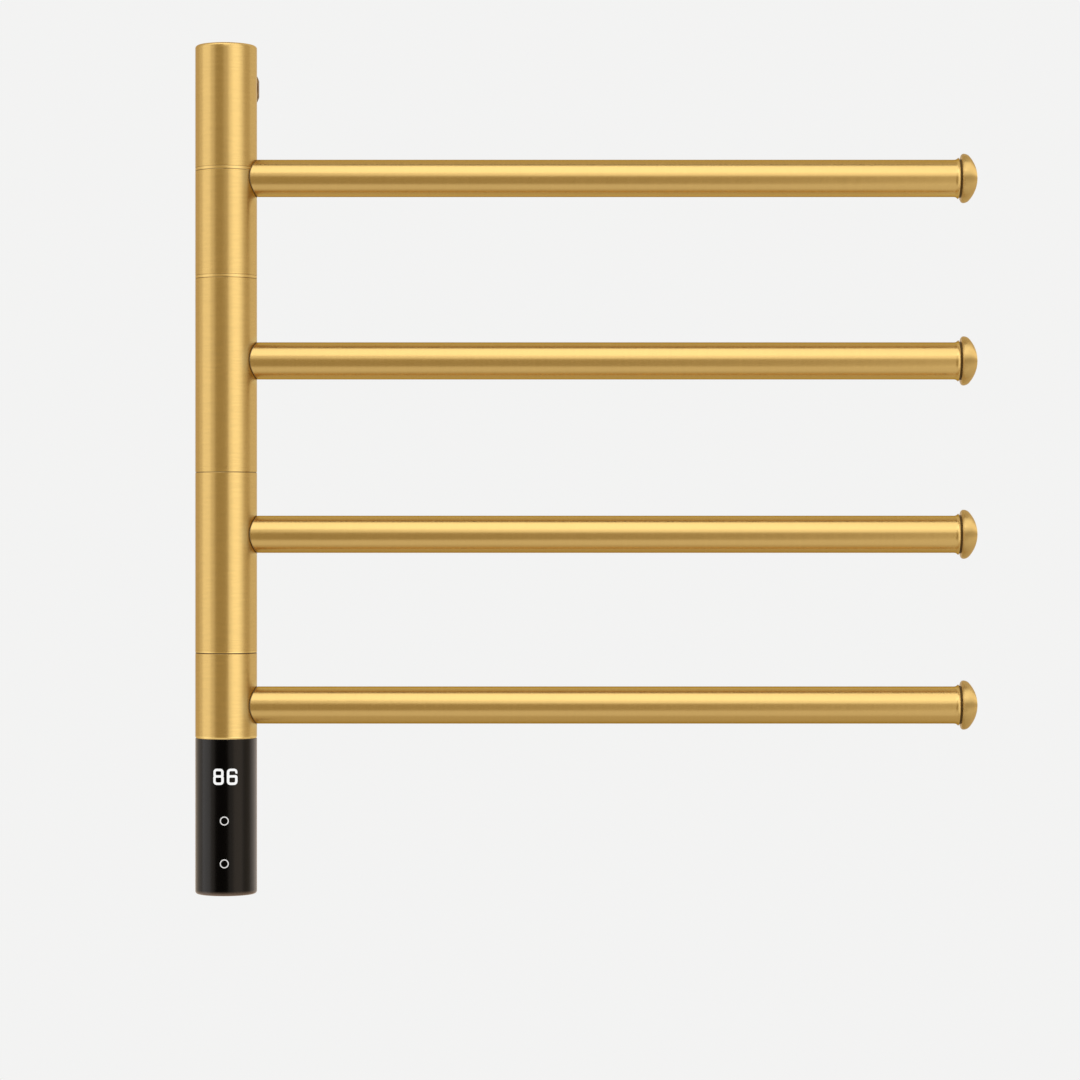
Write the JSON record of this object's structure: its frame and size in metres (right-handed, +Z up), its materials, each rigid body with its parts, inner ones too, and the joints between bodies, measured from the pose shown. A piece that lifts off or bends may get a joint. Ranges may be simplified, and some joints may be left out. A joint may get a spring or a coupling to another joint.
{
  "type": "swivel heated towel rail",
  "caption": "Wall-mounted towel warmer: slim brushed gold column whose heated arms swing one by one, above a black control section with a lit display.",
  "frame": {"origin": "on the wall, at the middle of the two screws of the upper fixing, straight behind the column's axis", "axes": "+Z up along the column, +Y into the wall, +X along the arms as stored, to the right seen from the room"},
  "size_m": [0.5339, 0.071, 0.5786],
  "materials": {
    "brushed_gold": "fine brushed gold coating on stainless steel",
    "smoked_black": "satin smoked black that lets the display shine through",
    "core_steel": "plain drawn",
    "machined_aluminium": "machined",
    "bearing_brass": "turned",
    "bush_polymer": "moulded",
    "slip_polymer": "moulded",
    "soft_rubber": "matt",
    "heater_sheath": "drawn",
    "circuit_board": "solder mask",
    "display_body": "moulded",
    "grey_plastic": "moulded",
    "wire_insulation": "sheathed",
    "zinc_steel": "zinc plated"
  },
  "bodies": {
    "column": {"core_tube": "core_steel", "top_section": "brushed_gold", "top_cap": "brushed_gold", "upper_anchor": "machined_aluminium", "lower_collar": "machined_aluminium", "lower_anchor": "machined_aluminium", "spacer_rings": "brushed_gold", "slip_washers": "slip_polymer", "control_housing": "smoked_black", "bottom_cap": "smoked_black", "control_board": "circuit_board", "led_display": "display_body", "touch_pads": "soft_rubber", "power_module": "grey_plastic", "terminal_block": "grey_plastic", "wiring_loom": "wire_insulation", "upper_standoff": "brushed_gold", "standoff_bolt": "zinc_steel", "upper_wall_boss": "zinc_steel", "lower_standoff": "brushed_gold", "lower_wall_boss": "zinc_steel", "set_screws": "zinc_steel"},
    "arm_1": {"arm_1_sleeve": "brushed_gold", "arm_1_hub": "bearing_brass", "arm_1_bushes": "bush_polymer", "arm_1_spigot": "bearing_brass", "arm_1_tube": "brushed_gold", "arm_1_heating_element": "heater_sheath", "arm_1_end_collar": "brushed_gold", "arm_1_end_seal": "soft_rubber", "arm_1_end_cap": "brushed_gold"},
    "arm_2": {"arm_2_sleeve": "brushed_gold", "arm_2_hub": "bearing_brass", "arm_2_bushes": "bush_polymer", "arm_2_spigot": "bearing_brass", "arm_2_tube": "brushed_gold", "arm_2_heating_element": "heater_sheath", "arm_2_end_collar": "brushed_gold", "arm_2_end_seal": "soft_rubber", "arm_2_end_cap": "brushed_gold"},
    "arm_3": {"arm_3_sleeve": "brushed_gold", "arm_3_hub": "bearing_brass", "arm_3_bushes": "bush_polymer", "arm_3_spigot": "bearing_brass", "arm_3_tube": "brushed_gold", "arm_3_heating_element": "heater_sheath", "arm_3_end_collar": "brushed_gold", "arm_3_end_seal": "soft_rubber", "arm_3_end_cap": "brushed_gold"},
    "arm_4": {"arm_4_sleeve": "brushed_gold", "arm_4_hub": "bearing_brass", "arm_4_bushes": "bush_polymer", "arm_4_spigot": "bearing_brass", "arm_4_tube": "brushed_gold", "arm_4_heating_element": "heater_sheath", "arm_4_end_collar": "brushed_gold", "arm_4_end_seal": "soft_rubber", "arm_4_end_cap": "brushed_gold"}
  },
  "joints": [
    {"name": "arm_1_swivel", "type": "hinge", "parent": "column", "child": "arm_1", "pos_m": [0, -0.05, -0.0673], "axis": [0, 0, -1], "range_deg": [0, 180]},
    {"name": "arm_2_swivel", "type": "hinge", "parent": "column", "child": "arm_2", "pos_m": [0, -0.05, -0.1919], "axis": [0, 0, -1], "range_deg": [0, 180]},
    {"name": "arm_3_swivel", "type": "hinge", "parent": "column", "child": "arm_3", "pos_m": [0, -0.05, -0.3103], "axis": [0, 0, -1], "range_deg": [0, 180]},
    {"name": "arm_4_swivel", "type": "hinge", "parent": "column", "child": "arm_4", "pos_m": [0, -0.05, -0.4269], "axis": [0, 0, -1], "range_deg": [0, 180]}
  ]
}
